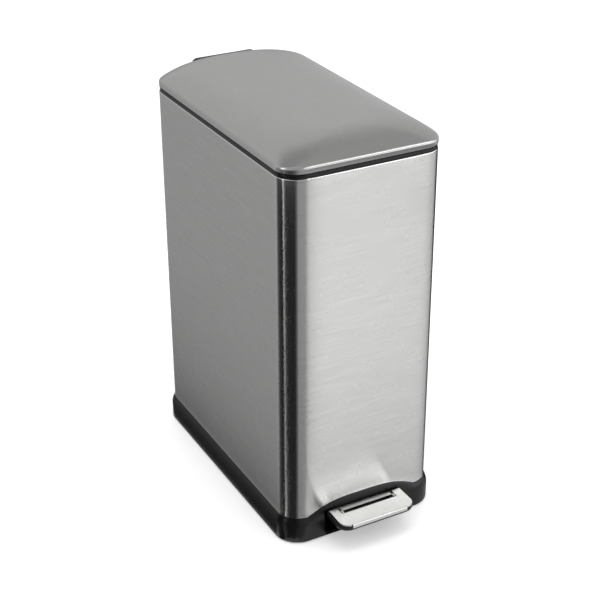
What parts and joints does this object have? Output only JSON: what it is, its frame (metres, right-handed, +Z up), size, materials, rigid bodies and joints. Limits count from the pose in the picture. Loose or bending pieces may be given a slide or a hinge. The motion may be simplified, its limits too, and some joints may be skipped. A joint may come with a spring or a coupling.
{
  "type": "pedal recycling bin",
  "caption": "Slim pedal bin: a tall brushed steel sleeve on a black flared base, a domed lid on a rear hinge, a pedal and rod that lift it, and lift-out buckets.",
  "frame": {"origin": "centre of the bin's bounding box at floor level", "axes": "+X to the right seen from the front, +Y from the pedal towards the hinge, +Z up"},
  "size_m": [0.27, 0.523, 0.6434],
  "materials": {
    "brushed_steel": "brushed, satin",
    "tread_steel": "fine brushed",
    "zinc_steel": "zinc plated",
    "black_plastic": "moulded, fine satin texture",
    "white_acetal": "smooth moulded",
    "grey_bucket": "moulded",
    "blue_bucket": "moulded",
    "rubber": "matt"
  },
  "bodies": {
    "root": {"body_shell": "brushed_steel", "top_rim": "black_plastic", "base": "black_plastic", "floor_pan": "black_plastic", "feet": "rubber", "pan_screws": "zinc_steel", "front_bucket": "grey_bucket", "rear_bucket": "blue_bucket", "lid_bumpers": "rubber", "hinge_bracket": "black_plastic", "hinge_pin": "zinc_steel", "hinge_screws": "zinc_steel", "pivot_bracket": "zinc_steel", "pivot_pin": "zinc_steel", "pivot_clips": "zinc_steel", "lever_stop": "rubber", "upper_guide": "black_plastic", "lower_guide": "white_acetal", "damper_body": "black_plastic", "damper_clips": "black_plastic"},
    "lid": {"lid_skin": "brushed_steel", "lid_liner": "black_plastic", "lid_hinge": "black_plastic", "hinge_cover": "black_plastic", "crank_pin": "zinc_steel", "lid_screws": "zinc_steel"},
    "pedal": {"pedal_plate": "tread_steel", "pedal_tray": "black_plastic", "pedal_lever": "tread_steel", "lever_roller": "white_acetal"},
    "rod": {"push_rod": "zinc_steel", "rod_head": "black_plastic", "rod_foot": "black_plastic", "rod_collar": "black_plastic", "damper_rod": "zinc_steel"},
    "front_bail": {"front_bail": "zinc_steel"},
    "rear_bail": {"rear_bail": "zinc_steel"}
  },
  "joints": [
    {"name": "lid_swing", "type": "hinge", "parent": "root", "child": "lid", "pos_m": [0, 0.253, 0.604], "axis": [-1, 0, 0], "range_deg": [0, 80]},
    {"name": "pedal_rock", "type": "hinge", "parent": "root", "child": "pedal", "pos_m": [0, -0.0445, 0.03047], "axis": [1, 0, 0], "range_deg": [0, 6.4]},
    {"name": "rod_lift", "type": "slide", "parent": "root", "child": "rod", "axis": [0, 0, 1], "range_m": [0, 0.031]},
    {"name": "front_bail_swing", "type": "hinge", "parent": "root", "child": "front_bail", "pos_m": [0, -0.09675, 0.6028], "axis": [1, 0, 0], "range_deg": [0, 18]},
    {"name": "rear_bail_swing", "type": "hinge", "parent": "root", "child": "rear_bail", "pos_m": [0, 0.11025, 0.6028], "axis": [-1, 0, 0], "range_deg": [0, 18]}
  ],
  "couplings": [
    {"joint": "pedal_rock", "follows": "lid_swing", "ratio": 0.08},
    {"joint": "rod_lift", "follows": "lid_swing", "m_per_rad": 0.022097}
  ]
}
